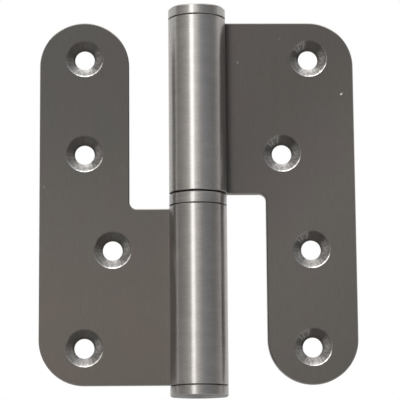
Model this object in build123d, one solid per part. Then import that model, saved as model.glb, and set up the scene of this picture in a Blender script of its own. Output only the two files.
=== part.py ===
from build123d import *
from math import radians, sin, sqrt
import os

# Lift-off door hinge, 4 by 3 1/2 inch pattern, opened flat.
#
# Each leaf is one piece of 3 mm stainless sheet with a J outline. Its wide half is
# rolled into a knuckle round the pin, its narrow half is a leg with a full round end.
# Both leaves are the same part: the frame leaf is the door leaf turned half round.
# The pin is pressed into the lower knuckle and stands up into the upper one, with a
# loose bearing ring between the two. A pressed-in cap closes the outer end of each
# knuckle. The door leaf swings about the pin and lifts off it.
#
# Axes: Z runs along the pin, X across the opened leaves, and the countersunk faces
# look along -Y. The origin is on the pin's axis, halfway along the barrel.

# Overall sizes, in millimetres
LEAF_HEIGHT = 102.0
OPEN_WIDTH = 88.0
SHEET = 3.0
BARREL_DIAMETER = 16.0
CLOSED_GAP = 3.0

# Outline of a leaf
LEG_WIDTH = 25.0
NOTCH_RADIUS = 1.9
KNUCKLE_PROUD = 0.35
ROOT_BEND_RADIUS = 3.0
ROLL_SLIT = 0.35
SHEET_EDGE_BREAK = 0.3

# Screw holes
HOLE_DIAMETER = 5.5
COUNTERSINK_DIAMETER = 10.2
COUNTERSINK_ANGLE = 90.0
COUNTERSINK_BREAK = 0.15
HOLES_PER_LEAF = 4
END_HOLE_INSET = 10.3
STAGGER = 7.8

# Bearing ring, pin and caps
RING_HEIGHT = 3.2
RING_GAP = 0.3
RING_CLEARANCE = 0.08
RUNNING_CLEARANCE = 0.05
PIN_TIP_GAP = 8.1
PIN_FOOT_GAP = 2.6
PIN_SEAT_SETBACK = 1.0
PIN_TIP_LENGTH = 2.0
PIN_TIP_TAPER = 1.2
PIN_FOOT_CHAMFER = 0.6
CAP_HEIGHT = 3.0
CAP_EDGE_BREAK = 0.4
SPIGOT_LENGTH = 5.0
SPIGOT_LEAD = 0.5
SEAM_CHAMFER = 0.25

# Sizes that follow
half_height = LEAF_HEIGHT / 2
half_width = OPEN_WIDTH / 2
barrel_radius = BARREL_DIAMETER / 2
bore_radius = barrel_radius - SHEET
leaf_front = CLOSED_GAP / 2
leaf_back = leaf_front + SHEET
leg_inner = half_width - LEG_WIDTH
corner_radius = LEG_WIDTH / 2
knuckle_start = (RING_HEIGHT + RING_GAP) / 2
knuckle_end = half_height + KNUCKLE_PROUD
root_start = knuckle_start + KNUCKLE_PROUD
pin_radius = bore_radius - RUNNING_CLEARANCE
hole_pitch = (LEAF_HEIGHT - 2 * END_HOLE_INSET) / (HOLES_PER_LEAF - 1)


def ring_profile(outer, inner):
    """Flat ring in the XY plane, centred on the barrel's axis."""
    return Circle(outer) - Circle(inner)


def rolled_knuckle():
    """The barrel half of a leaf: the rolled sheet, with the slit where the roll closes."""
    slit = Pos(barrel_radius, leaf_front - ROLL_SLIT / 2) * Rectangle(2 * barrel_radius, ROLL_SLIT)
    section = ring_profile(barrel_radius, bore_radius) - slit
    length = knuckle_end - knuckle_start
    tube = Pos(0, 0, knuckle_start) * extrude(section, length)
    rims = tube.edges().filter_by(GeomType.CIRCLE)
    outer_rims = [edge for edge in rims if edge.radius > (barrel_radius + bore_radius) / 2]
    return chamfer(outer_rims, SEAM_CHAMFER)


def root_bend():
    """The bend at the back of a leaf, where the flat sheet turns into the roll."""
    bend_y = leaf_back + ROOT_BEND_RADIUS
    bend_x = sqrt((barrel_radius + ROOT_BEND_RADIUS) ** 2 - bend_y**2)
    flat_length = bend_x + ROOT_BEND_RADIUS
    flat = Pos(0, leaf_front) * Rectangle(flat_length, SHEET, align=(Align.MIN, Align.MIN))
    meeting_x = sqrt(barrel_radius**2 - leaf_back**2)
    section = flat + Circle(barrel_radius)
    inner_corner = section.vertices().sort_by_distance((meeting_x, leaf_back, 0))[0]
    section = fillet(inner_corner, ROOT_BEND_RADIUS)
    window = Pos(0, leaf_front) * Rectangle(bend_x, BARREL_DIAMETER, align=(Align.MIN, Align.MIN))
    section = (section & window) - Circle(bore_radius)
    return Pos(0, 0, root_start) * extrude(section, half_height - root_start)


def leaf_outline():
    """J outline in the XZ plane: root beside the barrel, leg with a full round end."""
    turn = sin(radians(45))
    notch_x = leg_inner - NOTCH_RADIUS
    notch_z = root_start - NOTCH_RADIUS
    top_x = half_width - corner_radius
    top_z = half_height - corner_radius
    foot_z = corner_radius - half_height
    notch_mid = (notch_x + NOTCH_RADIUS * turn, notch_z + NOTCH_RADIUS * turn)
    top_mid = (top_x + corner_radius * turn, top_z + corner_radius * turn)
    with BuildSketch(Plane.XZ.offset(-leaf_back)) as outline:
        with BuildLine():
            Line((0, half_height), (0, root_start))
            Line((0, root_start), (notch_x, root_start))
            ThreePointArc((notch_x, root_start), notch_mid, (leg_inner, notch_z))
            Line((leg_inner, notch_z), (leg_inner, foot_z))
            ThreePointArc((leg_inner, foot_z), (top_x, -half_height), (half_width, foot_z))
            Line((half_width, foot_z), (half_width, top_z))
            ThreePointArc((half_width, top_z), top_mid, (top_x, half_height))
            Line((top_x, half_height), (0, half_height))
        make_face()
    return outline.sketch


def hole_places():
    """Hole centres of one leaf as (x, z), from the knuckle's end downwards."""
    leg_centre = half_width - LEG_WIDTH / 2
    places = []
    for row in range(HOLES_PER_LEAF):
        staggered = row == 1
        x = leg_centre - (STAGGER if staggered else 0)
        z = half_height - END_HOLE_INSET - row * hole_pitch
        places.append((x, z))
    return places


def flat_sheet():
    """The flat part of a leaf, with the edges of its outline broken on both faces."""
    sheet = extrude(leaf_outline(), SHEET)
    outline_edges = []
    for y in (leaf_front, leaf_back):
        face = sheet.faces().sort_by_distance((half_width - corner_radius, y, 0))[0]
        outline_edges += [edge for edge in face.edges() if edge.center().X > bore_radius]
    return chamfer(outline_edges, SHEET_EDGE_BREAK)


def make_leaf():
    """The door leaf where it stands: knuckle above the ring, leg towards +X."""
    bore = Cylinder(bore_radius, 2 * LEAF_HEIGHT)
    body = flat_sheet() + root_bend() - bore + rolled_knuckle()
    face = Plane.XZ.offset(-leaf_front)
    with BuildPart() as leaf:
        add(body)
        with Locations([face * Pos(x, z) for x, z in hole_places()]):
            CounterSinkHole(HOLE_DIAMETER / 2, COUNTERSINK_DIAMETER / 2, 2 * SHEET, COUNTERSINK_ANGLE)
        front = leaf.faces().sort_by_distance((half_width - corner_radius, leaf_front, 0))[0]
        rims = [wire.edge() for wire in front.inner_wires()]
        chamfer(rims, COUNTERSINK_BREAK)
    return leaf.part


def turned_profile(points):
    """Solid of revolution about Z from (radius, z) points, closed along the axis."""
    loop = Polyline([(radius, 0, z) for radius, z in points], close=True)
    return revolve(make_face(loop), Axis.Z)


def make_pin():
    """Pin with a pressed seat in the lower knuckle and a tapered tip in the upper one."""
    spigot_end = knuckle_end - SPIGOT_LENGTH
    foot = PIN_FOOT_GAP - spigot_end
    tip = spigot_end - PIN_TIP_GAP
    step = -knuckle_start - PIN_SEAT_SETBACK
    return turned_profile([
        (0, foot),
        (bore_radius - PIN_FOOT_CHAMFER, foot),
        (bore_radius, foot + PIN_FOOT_CHAMFER),
        (bore_radius, step),
        (pin_radius, step),
        (pin_radius, tip - PIN_TIP_LENGTH),
        (pin_radius - PIN_TIP_TAPER, tip),
        (0, tip),
    ])


def make_ring():
    """Bearing ring that lies on the lower knuckle, free to turn on the pin."""
    section = ring_profile(barrel_radius, pin_radius + RING_CLEARANCE)
    ring = Pos(0, 0, -knuckle_start) * extrude(section, RING_HEIGHT)
    outer_rims = ring.edges().filter_by(GeomType.CIRCLE).group_by(SortBy.RADIUS)[-1]
    return chamfer(outer_rims, SEAM_CHAMFER)


def make_cap():
    """Top cap: a turned disc as wide as the barrel on a spigot pressed into the bore."""
    spigot_end = knuckle_end - SPIGOT_LENGTH
    top = knuckle_end + CAP_HEIGHT
    blank = turned_profile([
        (0, spigot_end),
        (bore_radius - SPIGOT_LEAD, spigot_end),
        (bore_radius, spigot_end + SPIGOT_LEAD),
        (bore_radius, knuckle_end),
        (barrel_radius - SEAM_CHAMFER, knuckle_end),
        (barrel_radius, knuckle_end + SEAM_CHAMFER),
        (barrel_radius, top),
        (0, top),
    ])
    rim = blank.edges().filter_by(GeomType.CIRCLE).group_by(Axis.Z)[-1]
    return chamfer(rim, CAP_EDGE_BREAK)


def half_turn(solid):
    """The same piece turned half round about the Y axis, for the other half."""
    return Rot(0, 180, 0) * solid


door_leaf = make_leaf()
top_cap = make_cap()
nodes = {
    "door_leaf": door_leaf,
    "top_cap": top_cap,
    "bearing_ring": make_ring(),
    "hinge_pin": make_pin(),
    "frame_leaf": half_turn(door_leaf),
    "bottom_cap": half_turn(top_cap),
}

os.makedirs("parts", exist_ok=True)
for name, solid in nodes.items():
    export_step(solid, f"parts/{name}.step")
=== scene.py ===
"""Looks for a lift-off door hinge: brushed sheet leaves, turned barrel pieces, a plain studio."""

import logging
import math
from dataclasses import dataclass
from enum import Enum

import bmesh
import bpy
from mathutils import Matrix, Vector

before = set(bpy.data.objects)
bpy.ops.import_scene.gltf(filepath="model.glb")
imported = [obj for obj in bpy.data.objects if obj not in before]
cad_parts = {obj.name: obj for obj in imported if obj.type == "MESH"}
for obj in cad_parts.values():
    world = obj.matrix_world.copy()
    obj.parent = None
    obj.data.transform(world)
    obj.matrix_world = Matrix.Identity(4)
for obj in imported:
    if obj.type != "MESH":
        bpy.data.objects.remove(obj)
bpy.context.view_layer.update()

log = logging.getLogger("hinge")

Colour = tuple[float, float, float]
Place = tuple[float, float, float]
# Cells of a noise per millimetre along X, Y and Z.
Cells = tuple[float, float, float]
# Where a mask is 0 and where it is 1. The first may be above the second.
Limits = tuple[float, float]

MM = 0.001
WHITE: Colour = (1.0, 1.0, 1.0)
SOFT_CONTRAST: Limits = (0.35, 0.65)
# Turn of a stretched highlight that makes it run along the barrel, as a share of a full turn.
ALONG_BARREL = 0.25

# Places on the hinge in millimetres, with the origin on the pin's axis halfway along the barrel.
BARREL_RADIUS = 8.0
BARREL_END = 54.35
LEAF_FRONT = 1.5
LEAF_BACK = 4.5
COUNTERSINK_RIM = 5.25


def opaque(colour: Colour) -> tuple[float, float, float, float]:
    """The colour with full alpha, as colour sockets take it."""
    return (*colour, 1.0)


class Signal:
    """A number on a socket, with Python arithmetic that adds Math nodes."""

    def __init__(self, graph: "Graph", socket: bpy.types.NodeSocket) -> None:
        """Wraps the socket of a node in that graph."""
        self.graph = graph
        self.socket = socket

    def __add__(self, other: "Signal | float") -> "Signal":
        """Sum of two numbers."""
        return self.graph.math("ADD", self, other)

    def __radd__(self, other: float) -> "Signal":
        """Sum with a plain number on the left."""
        return self.graph.math("ADD", other, self)

    def __sub__(self, other: "Signal | float") -> "Signal":
        """Difference of two numbers."""
        return self.graph.math("SUBTRACT", self, other)

    def __rsub__(self, other: float) -> "Signal":
        """Difference with a plain number on the left."""
        return self.graph.math("SUBTRACT", other, self)

    def __mul__(self, other: "Signal | float") -> "Signal":
        """Product of two numbers."""
        return self.graph.math("MULTIPLY", self, other)

    def __rmul__(self, other: float) -> "Signal":
        """Product with a plain number on the left."""
        return self.graph.math("MULTIPLY", other, self)


class Graph:
    """The node tree of one material or world."""

    def __init__(self, owner: bpy.types.Material | bpy.types.World) -> None:
        """Starts that owner's tree empty."""
        owner.use_nodes = True
        self.tree = owner.node_tree
        self.tree.nodes.clear()

    def node(
        self, kind: str, settings: dict | None = None, sockets: dict | None = None
    ) -> bpy.types.Node:
        """Adds a node.

        Args:
            kind: The node's type, such as ShaderNodeMath.
            settings: Properties of the node, set before its sockets.
            sockets: Values, signals or sockets by the input's identifier.

        Returns:
            The new node.
        """
        made = self.tree.nodes.new(kind)
        for name, value in (settings or {}).items():
            setattr(made, name, value)
        for name, value in (sockets or {}).items():
            socket = next(s for s in made.inputs if s.identifier == name)
            if isinstance(value, Signal):
                value = value.socket
            if isinstance(value, bpy.types.NodeSocket):
                self.tree.links.new(value, socket)
            else:
                socket.default_value = value
        return made

    def math(self, operation: str, *values: Signal | float) -> Signal:
        """Adds a Math node.

        Args:
            operation: The node's operation.
            values: Its one to three numbers.

        Returns:
            The result.
        """
        names = ("Value", "Value_001", "Value_002")
        made = self.node("ShaderNodeMath", {"operation": operation}, dict(zip(names, values)))
        return Signal(self, made.outputs[0])

    def rise(self, value: Signal, low: float, high: float) -> Signal:
        """Goes smoothly from 0 at low to 1 at high.

        Args:
            value: The number to read.
            low: Where the result is 0. It may be above high, and then the result falls.
            high: Where the result is 1.

        Returns:
            A number from 0 to 1.
        """
        made = self.node(
            "ShaderNodeMapRange",
            {"interpolation_type": "SMOOTHSTEP"},
            {"Value": value, "From Min": low, "From Max": high},
        )
        return Signal(self, made.outputs["Result"])

    def split(self, vector: bpy.types.NodeSocket) -> list[Signal]:
        """The three numbers of a vector."""
        parts = self.node("ShaderNodeSeparateXYZ", {}, {"Vector": vector})
        return [Signal(self, parts.outputs[axis]) for axis in "XYZ"]

    def combine(
        self, x: Signal | float, y: Signal | float, z: Signal | float
    ) -> bpy.types.NodeSocket:
        """A vector from three numbers."""
        return self.node("ShaderNodeCombineXYZ", {}, {"X": x, "Y": y, "Z": z}).outputs[0]

    def noise(
        self, vector: bpy.types.NodeSocket, detail: float = 2.0, rough: float = 0.5
    ) -> Signal:
        """Adds a noise with one cell per unit of the vector.

        Args:
            vector: The place it reads.
            detail: How many finer layers it has.
            rough: How strong the finer layers are.

        Returns:
            A number around 0.5.
        """
        made = self.node(
            "ShaderNodeTexNoise",
            {"noise_dimensions": "3D"},
            {"Vector": vector, "Scale": 1.0, "Detail": detail, "Roughness": rough},
        )
        return Signal(self, made.outputs[0])

    def blend(
        self,
        factor: Signal | float,
        first: bpy.types.NodeSocket | Colour,
        second: bpy.types.NodeSocket | Colour,
        mode: str = "MIX",
    ) -> bpy.types.NodeSocket:
        """Adds a colour Mix node.

        Args:
            factor: How much of the second colour shows.
            first: Colour or link.
            second: Colour or link.
            mode: The node's blend type.

        Returns:
            The mixed colour's socket.
        """
        colours = [opaque(c) if isinstance(c, tuple) else c for c in (first, second)]
        made = self.node(
            "ShaderNodeMix",
            {"data_type": "RGBA", "blend_type": mode, "clamp_result": False},
            {"Factor_Float": factor, "A_Color": colours[0], "B_Color": colours[1]},
        )
        return next(s for s in made.outputs if s.identifier == "Result_Color")

    def bump(
        self, height: Signal, depth: float, under: bpy.types.NodeSocket | None = None
    ) -> bpy.types.NodeSocket:
        """Adds a Bump node.

        Args:
            height: The relief, from 0 to 1.
            depth: How deep that is, in metres.
            under: A normal that this relief lies on.

        Returns:
            The bent normal.
        """
        sockets = {"Height": height, "Distance": depth, "Strength": 1.0}
        if under is not None:
            sockets["Normal"] = under
        return self.node("ShaderNodeBump", {}, sockets).outputs[0]

    def metal(
        self,
        colour: bpy.types.NodeSocket,
        roughness: Signal | float,
        normal: bpy.types.NodeSocket,
        stretch: float = 0.0,
        turn: float = 0.0,
    ) -> bpy.types.NodeSocket:
        """Adds a bare metal.

        Args:
            colour: Base colour.
            roughness: Roughness.
            normal: Bent normal.
            stretch: How far highlights are drawn out.
            turn: Their direction, as a share of a full turn.

        Returns:
            The shader's socket.
        """
        made = self.node(
            "ShaderNodeBsdfPrincipled",
            {},
            {
                "Base Color": colour,
                "Roughness": roughness,
                "Normal": normal,
                "Metallic": 1.0,
                "Anisotropic": stretch,
                "Anisotropic Rotation": turn,
            },
        )
        return made.outputs[0]

    def layer(
        self, factor: Signal | float, under: bpy.types.NodeSocket, over: bpy.types.NodeSocket
    ) -> bpy.types.NodeSocket:
        """Adds a Mix Shader.

        Args:
            factor: How much of the upper shader shows.
            under: The lower shader.
            over: The upper shader.

        Returns:
            The mixed shader's socket.
        """
        sockets = {"Fac": factor, "Shader": under, "Shader_001": over}
        return self.node("ShaderNodeMixShader", {}, sockets).outputs[0]

    def surface(self, shader: bpy.types.NodeSocket) -> None:
        """Gives the tree its output.

        Args:
            shader: The socket that it shows.
        """
        world = isinstance(self.tree.id_data, bpy.types.World)
        kind = "ShaderNodeOutputWorld" if world else "ShaderNodeOutputMaterial"
        self.node(kind, {}, {"Surface": shader})


@dataclass(frozen=True)
class Speck:
    """A small bright speck on the front of a leaf, in millimetres of the unturned leaf."""

    x: float
    z: float
    strength: float
    width: float = 0.26
    length: float = 0.58

    # Where the speck starts to show and where it is full, as shares of its reach.
    edge: Limits = (1.0, 0.4)


class MetalGraph(Graph):
    """A metal's tree, with the place on the piece in millimetres from the barrel's middle."""

    def __init__(self, name: str, half_turn: bool = False) -> None:
        """Starts a material.

        Args:
            name: The material's name.
            half_turn: Reads the place as if the piece were turned half round about Y.
        """
        self.material = bpy.data.materials.new(name)
        super().__init__(self.material)
        place = self.node("ShaderNodeTexCoord").outputs["Object"]
        turn = (0.0, math.pi * half_turn, 0.0)
        sockets = {"Vector": place, "Rotation": turn, "Scale": (1 / MM,) * 3}
        self.x, self.y, self.z = self.split(self.node("ShaderNodeMapping", {}, sockets).outputs[0])
        self.radius = self.math("SQRT", self.x * self.x + self.y * self.y)

    def cells(self, per_mm: Cells, shift: float = 0.0) -> bpy.types.NodeSocket:
        """The place as a noise reads it.

        Args:
            per_mm: Cells per millimetre along X, Y and Z.
            shift: How far the pattern is moved along X, in millimetres.

        Returns:
            The vector's socket.
        """
        x = self.x + shift if shift else self.x
        return self.combine(x * per_mm[0], self.y * per_mm[1], self.z * per_mm[2])

    def speckled(self, specks: tuple[Speck, ...]) -> Signal:
        """Where a leaf's front has its specks.

        Args:
            specks: One speck or more.

        Returns:
            Each speck's strength in its middle, 0 away from them.
        """
        strongest = None
        for speck in specks:
            across = (self.x - speck.x) * (1 / speck.width)
            deep = (self.y - LEAF_FRONT) * (1 / speck.width)
            along = (self.z - speck.z) * (1 / speck.length)
            distance = self.math("SQRT", across * across + deep * deep + along * along)
            mark = self.rise(distance, *speck.edge) * speck.strength
            strongest = mark if strongest is None else self.math("MAXIMUM", strongest, mark)
        return strongest


@dataclass(frozen=True)
class HoleRows:
    """Where the screw holes of the unturned leaf are, in millimetres."""

    centre: float = 31.5
    stagger: float = 7.8
    first: float = 40.7
    count: int = 4

    @property
    def pitch(self) -> float:
        """Height from one row to the next."""
        return 2 * self.first / (self.count - 1)


class HoleFrame:
    """The place round the nearest screw hole: distance, and direction as across and up."""

    def __init__(self, graph: MetalGraph, rows: HoleRows, upright: float) -> None:
        """Adds the nodes that find it.

        Args:
            graph: The leaf's tree.
            rows: The holes' places.
            upright: 1, or -1 for the leaf that is turned half round.
        """
        second = rows.first - rows.pitch
        half_pitch = rows.pitch / 2
        staggered = graph.math("COMPARE", graph.z, second, half_pitch)
        across = graph.x - rows.centre + staggered * rows.stagger
        up = graph.math("WRAP", graph.z - rows.first, half_pitch, -half_pitch)
        self.distance = graph.math("SQRT", across * across + up * up)
        self.across = graph.math("DIVIDE", across, self.distance) * upright
        self.up = graph.math("DIVIDE", up, self.distance) * upright


@dataclass(frozen=True)
class TurnedSteel:
    """Bright steel from a lathe, with short fine marks that run round the barrel's axis."""

    colour: Colour = (0.47, 0.455, 0.44)
    shade: Colour = (0.40, 0.385, 0.37)
    # Painted shade for the grooves of the seams.
    seam_shade_colour: Colour = (0.10, 0.092, 0.085)
    # Painted shade for the underside of the bottom end.
    underside_shade: Colour = (0.15, 0.145, 0.14)

    roughness: float = 0.31
    mark_roughness: float = 0.10
    broad_roughness: float = 0.06
    seam_roughness: float = 0.25
    stretch: float = 0.88
    haze: float = 0.32
    haze_roughness: float = 0.60

    mark_pitch: float = 0.19
    mark_depth: float = 0.0000010
    # The marks change by this many cells per millimetre of X, and by this share of it along Y.
    mark_drift: float = 0.45
    drift_lean: float = 0.7
    mark_share: float = 0.6
    broad_share: float = 0.4
    broad_cells: Cells = (0.12, 0.12, 0.35)

    seams: tuple[float, ...] = (51.35, 1.6, -1.75, -51.35)
    # Distance from a seam's height, and radius, between which painted shade darkens its groove.
    seam_height: Limits = (0.31, 0.31 * 0.8)
    seam_radius: Limits = (BARREL_RADIUS - 0.03, BARREL_RADIUS - 0.14)
    underside_height: Limits = (0.05 - BARREL_END, 0.01 - BARREL_END)

    def marks(self, graph: MetalGraph) -> Signal:
        """The lathe's marks, on walls and end faces alike.

        Args:
            graph: The piece's tree.

        Returns:
            A number around 0.5.
        """
        per_mm = 1 / self.mark_pitch
        drift = (graph.x + graph.y * self.drift_lean) * self.mark_drift
        place = graph.combine(graph.radius * per_mm, drift, graph.z * per_mm)
        return graph.noise(place, detail=2.0, rough=0.6)

    def painted_seam_shade(self, graph: MetalGraph) -> Signal:
        """Where painted shade darkens the grooves of the seams.

        Args:
            graph: The piece's tree.

        Returns:
            1 deep in a groove, 0 on the barrel's wall.
        """
        offsets = [graph.math("ABSOLUTE", graph.z - height) for height in self.seams]
        nearest = offsets[0]
        for offset in offsets[1:]:
            nearest = graph.math("MINIMUM", nearest, offset)
        return graph.rise(nearest, *self.seam_height) * graph.rise(graph.radius, *self.seam_radius)

    def shader(self, graph: MetalGraph) -> bpy.types.NodeSocket:
        """The finish as a shader.

        Args:
            graph: The piece's tree.

        Returns:
            The shader's socket.
        """
        marks, painted_seam_shade = self.marks(graph), self.painted_seam_shade(graph)
        broad = graph.noise(graph.cells(self.broad_cells))
        pattern = marks * self.mark_share + broad * self.broad_share
        colour = graph.blend(graph.rise(pattern, *SOFT_CONTRAST), self.shade, self.colour)
        # Painted shade in the grooves of the seams.
        colour = graph.blend(painted_seam_shade, colour, self.seam_shade_colour)
        # Painted shade on the underside of the bottom end.
        below = graph.rise(graph.z, *self.underside_height)
        colour = graph.blend(below, colour, self.underside_shade)
        smoothest = self.roughness - (self.mark_roughness + self.broad_roughness) / 2
        varied = marks * self.mark_roughness + broad * self.broad_roughness
        roughness = varied + smoothest + painted_seam_shade * self.seam_roughness
        normal = graph.bump(marks, self.mark_depth)
        bright = graph.metal(colour, roughness, normal, self.stretch, ALONG_BARREL)
        hazy = graph.metal(colour, self.haze_roughness, normal)
        return graph.layer(self.haze, bright, hazy)

    def material(self, name: str) -> bpy.types.Material:
        """A material that is this finish all over.

        Args:
            name: The material's name.

        Returns:
            The material.
        """
        graph = MetalGraph(name)
        graph.surface(self.shader(graph))
        return graph.material


@dataclass(frozen=True)
class Countersinks:
    """Cones as the cutter left them: fine rings, chatter and a broken rim, with painted highlights
    low on the cone and on its rim, and painted shade in the throat, in one sector and on the upper
    rim.
    """

    # The colours, in order: the cone's own tone, a painted highlight, a painted glint, a lighter
    # painted tone for the upper rim, and the chatter's dark marks together with painted shade.
    dull: Colour = (0.13, 0.124, 0.118)
    bright: Colour = (0.76, 0.74, 0.72)
    painted_glint: Colour = (0.88, 0.87, 0.85)
    painted_rim_light: Colour = (0.30, 0.285, 0.27)
    dark_chatter_and_shade: Colour = (0.085, 0.078, 0.072)

    roughness: float = 0.23
    chatter_roughness: float = 0.16
    ring_roughness: float = 0.08
    ring_depth: float = 0.000004
    chatter_depth: float = 0.00004
    ring_cells: float = 4.0
    ring_drift: float = 0.2
    chatter_cells: float = 9.0
    chatter_drift: float = 0.9

    # Directions run from -1 to 1 across and up, distances from the hole's middle in millimetres.
    # Over the next two limits the lower part of the cone, reaching round to the right, takes the
    # painted highlight.
    lower: Limits = (0.45, -0.65)
    facing: Limits = (0.25, -0.75)
    facing_lean: float = 0.7
    # Painted shade darkens the throat between these distances, less of it where the painted
    # highlight is.
    throat: Limits = (3.6, 2.8)
    throat_lit_share: float = 0.7
    # Painted highlight along the lower part of the rim.
    lower_rim: Limits = (4.86, 5.04)
    # Painted shade on the upper rim's right side and a lighter painted tone on its left side.
    upper_rim: Limits = (4.80, 4.96)
    upper_rim_part: Limits = (-0.45, -0.10)
    upper_rim_side: Limits = (0.3, -0.5)
    upper_rim_cover: float = 0.85

    # The cutter's scores, painted bright as glints.
    scores: float = 0.14
    score_side: tuple[float, float] = (-0.6, 0.8)
    score_spread: Limits = (0.84, 0.97)
    score_marks: Limits = (0.42, 0.62)
    score_reach: Limits = (3.0, 3.8)

    # Painted shade over one sector of the cone: its direction in degrees, its spread and its
    # strength.
    shade_sector_turn: float = -30.0
    shade_sector_spread: Limits = (0.84, 0.93)
    shade_sector_cover: float = 0.6
    chatter_cover: float = 0.5

    def tone(self, graph: MetalGraph, hole: HoleFrame, chatter: Signal) -> bpy.types.NodeSocket:
        """The cone's and the rim's colour, with painted highlights and painted shade.

        Args:
            graph: The leaf's tree.
            hole: The place round the nearest hole.
            chatter: The cutter's chatter.

        Returns:
            The colour's socket.
        """
        # Painted highlight: the lower part of the cone, reaching round to the right, is painted
        # bright.
        lower = graph.rise(hole.up, *self.lower)
        facing = graph.rise(hole.up - hole.across * self.facing_lean, *self.facing)
        colour = graph.blend(graph.math("MAXIMUM", lower, facing), self.dull, self.bright)

        # The cutter's scores, painted bright as glints.
        scored = self.scored(graph, hole) * graph.rise(chatter, *self.score_marks)
        colour = graph.blend(scored * self.scores, colour, self.painted_glint)

        # Painted highlight along the lower part of the rim.
        rim = graph.rise(hole.distance, *self.lower_rim) * lower
        colour = graph.blend(rim, colour, self.painted_glint)
        # Painted shade on the upper rim's right side and a lighter painted tone on its left side.
        upper = graph.rise(hole.up, *self.upper_rim_part)
        upper_rim = graph.rise(hole.distance, *self.upper_rim) * upper
        side = graph.rise(hole.across, *self.upper_rim_side)
        painted_rim_tone = graph.blend(side, self.dull, self.painted_rim_light)
        colour = graph.blend(upper_rim * self.upper_rim_cover, colour, painted_rim_tone)

        # Painted shade over one sector of the cone.
        turn = math.radians(self.shade_sector_turn)
        towards = hole.across * math.sin(turn) + hole.up * math.cos(turn)
        shade_sector = graph.rise(towards, *self.shade_sector_spread)
        colour = graph.blend(shade_sector * self.shade_sector_cover, colour, self.dark_chatter_and_shade)
        # Painted shade deep in the throat, less of it in the lower part where the painted
        # highlight is.
        throat = graph.rise(hole.distance, *self.throat) * (1.0 - lower * self.throat_lit_share)
        colour = graph.blend(throat, colour, self.dark_chatter_and_shade)
        shaken = graph.rise(chatter, *SOFT_CONTRAST) * self.chatter_cover
        return graph.blend(shaken, colour, self.dark_chatter_and_shade)

    def scored(self, graph: MetalGraph, hole: HoleFrame) -> Signal:
        """The part of the cone with scores across it, which are painted bright as glints.

        Args:
            graph: The leaf's tree.
            hole: The place round the nearest hole.

        Returns:
            1 in that part, 0 outside it.
        """
        across, up = self.score_side
        spread = graph.rise(hole.up * up + hole.across * across, *self.score_spread)
        return spread * graph.rise(hole.distance, *self.score_reach)

    def shader(self, graph: MetalGraph, hole: HoleFrame) -> bpy.types.NodeSocket:
        """The finish as a shader.

        Args:
            graph: The leaf's tree.
            hole: The place round the nearest hole.

        Returns:
            The shader's socket.
        """
        ring_place = graph.combine(
            hole.distance * self.ring_cells, 0.0, hole.across * self.ring_drift
        )
        rings = graph.noise(ring_place, rough=0.6)
        chatter_place = graph.combine(
            hole.across * self.chatter_cells,
            hole.up * self.chatter_cells,
            hole.distance * self.chatter_drift,
        )
        chatter = graph.noise(chatter_place, rough=0.6)
        varied = chatter * self.chatter_roughness + rings * self.ring_roughness
        normal = graph.bump(rings, self.ring_depth, graph.bump(chatter, self.chatter_depth))
        return graph.metal(self.tone(graph, hole, chatter), varied + self.roughness, normal)


@dataclass(frozen=True)
class CutEdge:
    """The sheet's cut edges, streaked through its thickness."""

    shade: Colour = (0.182, 0.173, 0.158)
    colour: Colour = (0.30, 0.285, 0.27)
    contrast: Limits = (0.3, 0.7)
    roughness: float = 0.26
    streak_roughness: float = 0.12
    streak_depth: float = 0.000002
    cells: Cells = (5.0, 0.6, 5.0)

    def shader(self, graph: MetalGraph) -> bpy.types.NodeSocket:
        """The finish as a shader.

        Args:
            graph: The piece's tree.

        Returns:
            The shader's socket.
        """
        streaks = graph.noise(graph.cells(self.cells), detail=3.0, rough=0.6)
        colour = graph.blend(graph.rise(streaks, *self.contrast), self.shade, self.colour)
        roughness = streaks * self.streak_roughness + self.roughness
        return graph.metal(colour, roughness, graph.bump(streaks, self.streak_depth))


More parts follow.
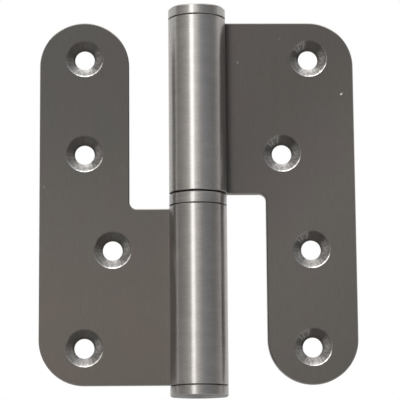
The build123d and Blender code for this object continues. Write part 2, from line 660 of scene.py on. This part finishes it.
@dataclass(frozen=True)
class BrushedFace:
    """The sheet's faces: satin, brushed along the barrel, with a slow change of tone that is
    painted shade.
    """

    # Painted shade: the face goes from the dark tone at the first place to the light one at the
    # second. By default it is darker at the unturned leaf's lower end, which is the top of the
    # turned leaf.
    dark: Colour = (0.124, 0.119, 0.114)
    light: Colour = (0.182, 0.163, 0.147)
    dark_place: tuple[float, float] = (31.5, -45.0)
    light_place: tuple[float, float] = (31.5, 45.0)
    green: Colour = (0.985, 1.010, 0.985)
    brown: Colour = (1.012, 0.990, 0.998)
    line_shade: Colour = (0.83, 0.83, 0.83)
    line_contrast: Limits = (0.62, 0.30)
    speck: Colour = (0.95, 0.93, 0.90)

    roughness: float = 0.44
    line_roughness: float = 0.10
    streak_roughness: float = 0.05
    stretch: float = 0.90
    line_depth: float = 0.0000010
    line_share: float = 0.85
    streak_share: float = 0.15
    line_cells: Cells = (1 / 0.13, 4.0, 1 / 3.5)
    streak_cells: Cells = (0.9, 0.5, 0.02)
    cloud_cells: Cells = (0.06, 0.05, 0.045)
    # How far the turned leaf's pattern is moved, so that the two leaves differ.
    turned_shift: float = 37.0

    def painted_shade_fade(self, graph: MetalGraph) -> Signal:
        """How far the face has gone from its painted dark tone to its light one.

        Args:
            graph: The leaf's tree.

        Returns:
            A number from 0 to 1.
        """
        (x, z), (end_x, end_z) = self.dark_place, self.light_place
        reach = (end_x - x) ** 2 + (end_z - z) ** 2
        share_x, share_z = (end_x - x) / reach, (end_z - z) / reach
        return graph.rise((graph.x - x) * share_x + (graph.z - z) * share_z, 0.0, 1.0)

    def shader(
        self, graph: MetalGraph, turned: bool, specks: tuple[Speck, ...]
    ) -> bpy.types.NodeSocket:
        """The finish as a shader.

        Args:
            graph: The leaf's tree.
            turned: True for the leaf that is turned half round.
            specks: The leaf's bright specks.

        Returns:
            The shader's socket.
        """
        shift = self.turned_shift * turned
        lines = graph.noise(graph.cells(self.line_cells, shift), detail=3.0, rough=0.65)
        streaks = graph.noise(graph.cells(self.streak_cells, shift))
        clouds = graph.noise(graph.cells(self.cloud_cells, shift), detail=3.0)
        tint = graph.blend(graph.rise(clouds, *SOFT_CONTRAST), self.green, self.brown)
        # Painted shade: the face is darker towards one end.
        colour = graph.blend(self.painted_shade_fade(graph), self.dark, self.light)
        colour = graph.blend(1.0, colour, tint, "MULTIPLY")
        shaded = graph.blend(1.0, colour, self.line_shade, "MULTIPLY")
        pattern = lines * self.line_share + streaks * self.streak_share
        colour = graph.blend(graph.rise(pattern, *self.line_contrast), colour, shaded)
        if specks:
            colour = graph.blend(graph.speckled(specks), colour, self.speck)
        smoothest = self.roughness - (self.line_roughness + self.streak_roughness) / 2
        varied = lines * self.line_roughness + streaks * self.streak_roughness
        normal = graph.bump(lines, self.line_depth)
        return graph.metal(colour, varied + smoothest, normal, self.stretch)


@dataclass(frozen=True)
class LeafSteel:
    """A leaf's steel: brushed faces, cut edges, countersinks and a turned knuckle."""

    face: BrushedFace = BrushedFace()
    edge: CutEdge = CutEdge()
    countersinks: Countersinks = Countersinks()
    knuckle: TurnedSteel = TurnedSteel()

    # Between these limits one finish gives way to the next, in millimetres.
    off_front: Limits = (LEAF_FRONT + 0.005, LEAF_FRONT + 0.04)
    off_back: Limits = (LEAF_BACK - 0.005, LEAF_BACK - 0.04)
    into_cone: Limits = (COUNTERSINK_RIM + 0.03, COUNTERSINK_RIM - 0.01)
    onto_barrel: Limits = (BARREL_RADIUS + 0.06, BARREL_RADIUS + 0.02)

    def material(
        self, name: str, turned: bool, rows: HoleRows, specks: tuple[Speck, ...]
    ) -> bpy.types.Material:
        """A leaf's material.

        Args:
            name: The material's name.
            turned: True for the leaf that is turned half round.
            rows: Where the screw holes of the unturned leaf are.
            specks: Bright specks on the front face.

        Returns:
            The material.
        """
        graph = MetalGraph(name, turned)
        hole = HoleFrame(graph, rows, -1.0 if turned else 1.0)
        before_back = graph.rise(graph.y, *self.off_back)
        walls = graph.rise(graph.y, *self.off_front) * before_back
        sunk = graph.rise(hole.distance, *self.into_cone) * before_back
        rolled = graph.rise(graph.radius, *self.onto_barrel)
        face = self.face.shader(graph, turned, specks)
        shader = graph.layer(walls, face, self.edge.shader(graph))
        shader = graph.layer(sunk, shader, self.countersinks.shader(graph, hole))
        graph.surface(graph.layer(rolled, shader, self.knuckle.shader(graph)))
        return graph.material


class Half(Enum):
    """The two halves of the hinge, with their CAD nodes."""

    DOOR = ("door_leaf", "top_cap")
    FRAME = ("frame_leaf", "bottom_cap")

    @property
    def leaf(self) -> str:
        """The leaf's node."""
        return self.value[0]

    @property
    def cap(self) -> str:
        """The cap's node."""
        return self.value[1]


def dress(node: str, material: bpy.types.Material) -> None:
    """Gives a CAD node its finish and reports it.

    Args:
        node: The node's name.
        material: The finish.
    """
    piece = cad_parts[node]
    for slot in piece.material_slots:
        slot.material = material
    log.info("%s dressed in %s, %d faces", node, material.name, len(piece.data.polygons))


@dataclass
class HingeHalf:
    """A leaf with the cap in the end of its knuckle."""

    half: Half
    leaf_finish: LeafSteel
    cap_finish: TurnedSteel
    specks: tuple[Speck, ...]
    holes: HoleRows = HoleRows()

    def dress(self) -> None:
        """Dresses the leaf and its cap."""
        leaf, cap = self.half.leaf, self.half.cap
        turned = self.half is Half.FRAME
        steel = self.leaf_finish.material(f"{leaf}_steel", turned, self.holes, self.specks)
        dress(leaf, steel)
        dress(cap, self.cap_finish.material(f"{cap}_steel"))


def door_half() -> HingeHalf:
    """The right half: a darker leaf, with painted shade next to the barrel, scored countersinks
    and a few bright specks.

    Returns:
        The half with its finishes.
    """
    # Painted shade: the face is darker next to the barrel.
    face = BrushedFace(
        dark=(0.136, 0.124, 0.118),
        light=(0.173, 0.161, 0.149),
        dark_place=(14.0, 20.0),
        light_place=(42.0, 0.0),
    )
    # The door leaf's cones have their painted shade in another sector, and stronger scores painted
    # as glints.
    countersinks = Countersinks(scores=0.55, shade_sector_turn=20.0)
    specks = (
        Speck(x=40.52, z=30.36, strength=1.0, width=0.34, length=0.34),
        Speck(x=40.86, z=30.62, strength=0.4, width=0.28, length=0.28),
        Speck(x=11.49, z=39.55, strength=0.22),
        Speck(x=23.3, z=46.34, strength=0.07),
    )
    leaf_finish = LeafSteel(face=face, countersinks=countersinks)
    return HingeHalf(Half.DOOR, leaf_finish, TurnedSteel(), specks)


def frame_half() -> HingeHalf:
    """The left half: its knuckle and cap are a little darker, in painted shade, and clearer than
    the others.

    Returns:
        The half with its finishes.
    """
    # A darker copy of the turned steel: painted shade.
    knuckle = TurnedSteel(colour=(0.435, 0.42, 0.405), shade=(0.365, 0.35, 0.337), haze=0.21)
    # A darker copy of the turned steel: painted shade.
    cap_finish = TurnedSteel(
        colour=(0.41, 0.395, 0.382),
        shade=(0.34, 0.327, 0.315),
        haze=0.12,
        # A still darker painted shade on the cap's underside.
        underside_shade=(0.10, 0.096, 0.092),
    )
    specks = (
        Speck(x=42.72, z=-4.13, strength=0.16),
        Speck(x=20.79, z=-9.43, strength=0.07),
    )
    return HingeHalf(Half.FRAME, LeafSteel(knuckle=knuckle), cap_finish, specks)


@dataclass
class Bearing:
    """The pin and the ring that carries the door half."""

    ring_finish: TurnedSteel = TurnedSteel(shade=(0.36, 0.35, 0.34))
    pin_finish: TurnedSteel = TurnedSteel(roughness=0.16)

    def dress(self) -> None:
        """Dresses the ring and the pin."""
        dress("bearing_ring", self.ring_finish.material("ring_turned_steel"))
        dress("hinge_pin", self.pin_finish.material("pin_ground_steel"))


@dataclass(frozen=True)
class Softbox:
    """An area lamp that faces the hinge. Angles are in degrees, lengths in metres."""

    name: str
    azimuth: float
    elevation: float
    distance: float
    width: float
    height: float
    radiance: float

    def place(self) -> None:
        """Puts the lamp in the scene and reports it."""
        data = bpy.data.lights.new(self.name, "AREA")
        data.shape = "RECTANGLE"
        data.size, data.size_y = self.width, self.height
        data.energy = self.radiance * math.pi * self.width * self.height
        lamp = bpy.data.objects.new(self.name, data)
        bpy.context.scene.collection.objects.link(lamp)
        turn, lift = math.radians(self.azimuth), math.radians(self.elevation)
        level = math.cos(lift)
        away = Vector((math.sin(turn) * level, -math.cos(turn) * level, math.sin(lift)))
        lamp.location = away * self.distance
        lamp.rotation_mode = "QUATERNION"
        lamp.rotation_quaternion = away.to_track_quat("Z", "Y")
        log.info("%s at %.0f, %.0f degrees", self.name, self.azimuth, self.elevation)


@dataclass(frozen=True)
class Glow:
    """A soft upright band of light in the room. Its azimuth and width are in degrees."""

    azimuth: float
    width: float
    colour: Colour

    def shape(self, graph: Graph, turn: Signal) -> Signal:
        """How much of the band lies in a direction.

        Args:
            graph: The world's tree.
            turn: Azimuth in degrees, from the camera's side towards +X.

        Returns:
            1 in the band's middle, and less away from it.
        """
        offset = (turn - self.azimuth) * (1 / self.width)
        return graph.math("EXPONENT", offset * offset * -1.0)


@dataclass
class Room:
    """White behind the hinge, and on the camera's side the dim room that the steel reflects."""

    level: Colour = (0.135, 0.131, 0.128)
    glows: tuple[Glow, ...] = (
        Glow(azimuth=-21.0, width=15.0, colour=(0.90, 0.89, 0.865)),
        Glow(azimuth=-24.0, width=35.0, colour=(0.50, 0.475, 0.45)),
        Glow(azimuth=-78.0, width=24.0, colour=(0.085, 0.073, 0.063)),
        Glow(azimuth=94.0, width=15.0, colour=(0.46, 0.445, 0.43)),
        Glow(azimuth=30.0, width=18.0, colour=(0.0, 0.03, 0.08)),
    )
    # Parts of a direction between which the white starts: how far back and how far up it goes.
    white_back: Limits = (0.02, 0.10)
    white_top: Limits = (0.75, 0.45)

    def light(self, graph: Graph, turn: Signal) -> bpy.types.NodeSocket:
        """The dim room's light.

        Args:
            graph: The world's tree.
            turn: Azimuth in degrees, from the camera's side towards +X.

        Returns:
            The colour's socket.
        """
        shapes = [glow.shape(graph, turn) for glow in self.glows]
        channels = []
        for channel, total in enumerate(self.level):
            for shape, glow in zip(shapes, self.glows):
                total = shape * glow.colour[channel] + total
            channels.append(total)
        return graph.combine(*channels)

    def build(self) -> None:
        """Makes the world."""
        world = bpy.data.worlds.new("studio")
        bpy.context.scene.world = world
        graph = Graph(world)
        x, y, z = graph.split(graph.node("ShaderNodeTexCoord").outputs["Generated"])
        turn = graph.math("ARCTAN2", x, y * -1.0) * math.degrees(1.0)
        behind = graph.rise(y, *self.white_back) * graph.rise(z, *self.white_top)
        level = graph.blend(behind, self.light(graph, turn), WHITE)
        rays = graph.node("ShaderNodeLightPath").outputs
        seen = Signal(graph, rays["Is Camera Ray"])
        seen_through = Signal(graph, rays["Is Transmission Ray"])
        colour = graph.blend(graph.math("MAXIMUM", seen, seen_through), level, WHITE)
        made = graph.node("ShaderNodeBackground", {}, {"Color": colour, "Strength": 1.0})
        graph.surface(made.outputs[0])


@dataclass
class Floor:
    """A plain pale floor, in metres."""

    height: float = -0.090
    size: float = 6.0
    squares: int = 4
    colour: Colour = (0.55, 0.55, 0.55)
    grain: float = 1.01
    roughness: float = 0.9

    def material(self) -> bpy.types.Material:
        """The floor's finish, with a very slight grain.

        Returns:
            The material.
        """
        material = bpy.data.materials.new("pale_floor")
        graph = Graph(material)
        noise = graph.noise(graph.node("ShaderNodeTexCoord").outputs["Object"], detail=4.0)
        colour = graph.blend(noise, self.colour, tuple(self.grain * c for c in self.colour))
        sockets = {"Base Color": colour, "Roughness": self.roughness}
        graph.surface(graph.node("ShaderNodeBsdfPrincipled", {}, sockets).outputs[0])
        return material

    def build(self) -> None:
        """Makes the floor."""
        shape = bmesh.new()
        bmesh.ops.create_grid(
            shape, x_segments=self.squares, y_segments=self.squares, size=self.size / 2
        )
        bmesh.ops.translate(shape, verts=shape.verts, vec=(0.0, 0.0, self.height))
        mesh = bpy.data.meshes.new("floor")
        shape.to_mesh(mesh)
        shape.free()
        mesh.materials.append(self.material())
        floor = bpy.data.objects.new("floor", mesh)
        bpy.context.scene.collection.objects.link(floor)


@dataclass
class Camera:
    """The camera where the photograph was taken from. Angles are in degrees."""

    place: Place = (-0.01452, -0.51197, -0.08393)
    yaw: float = 1.687
    pitch: float = 9.315
    roll: float = -0.463
    lens: float = 168.42
    sensor: float = 36.0
    clip: tuple[float, float] = (0.01, 20.0)

    def build(self) -> None:
        """Makes the camera and gives it to the scene."""
        data = bpy.data.cameras.new("camera")
        data.sensor_width, data.lens = self.sensor, self.lens
        data.clip_start, data.clip_end = self.clip
        camera = bpy.data.objects.new("camera", data)
        bpy.context.scene.collection.objects.link(camera)
        yaw, pitch, roll = (math.radians(angle) for angle in (self.yaw, self.pitch, self.roll))
        level = math.cos(pitch)
        forward = Vector((math.sin(yaw) * level, math.cos(yaw) * level, math.sin(pitch)))
        side = forward.cross(Vector((0.0, 0.0, 1.0))).normalized()
        up = side.cross(forward)
        right = side * math.cos(roll) + up * math.sin(roll)
        up = up * math.cos(roll) - side * math.sin(roll)
        turn = Matrix((right, up, -forward)).transposed().to_4x4()
        camera.matrix_world = Matrix.Translation(Vector(self.place)) @ turn
        bpy.context.scene.camera = camera


@dataclass
class Studio:
    """The camera, a plain pale floor, the room and its soft lamps."""

    camera: Camera
    floor: Floor
    room: Room
    lamps: tuple[Softbox, ...] = (
        Softbox(
            "strip_lamp",
            azimuth=-23.0,
            elevation=16.0,
            distance=0.9,
            width=0.22,
            height=0.60,
            radiance=3.1,
        ),
        Softbox(
            "shoulder_lamp",
            azimuth=-9.0,
            elevation=47.0,
            distance=1.0,
            width=0.32,
            height=0.22,
            radiance=5.0,
        ),
        Softbox(
            "rim_lamp",
            azimuth=-6.0,
            elevation=58.0,
            distance=1.0,
            width=0.50,
            height=0.30,
            radiance=2.5,
        ),
        Softbox(
            "top_lamp",
            azimuth=180.0,
            elevation=84.0,
            distance=1.0,
            width=1.30,
            height=0.80,
            radiance=2.4,
        ),
    )

    def build(self) -> None:
        """Sets up the whole studio."""
        self.camera.build()
        self.floor.build()
        self.room.build()
        for lamp in self.lamps:
            lamp.place()
        bpy.context.scene.view_settings.view_transform = "Standard"


def main() -> None:
    """Builds the studio and dresses the hinge, piece by piece."""
    logging.basicConfig(level=logging.INFO, format="%(name)s: %(message)s")
    Studio(Camera(), Floor(), Room()).build()
    for half in (door_half(), frame_half()):
        half.dress()
    Bearing().dress()


if __name__ == "__main__":
    main()
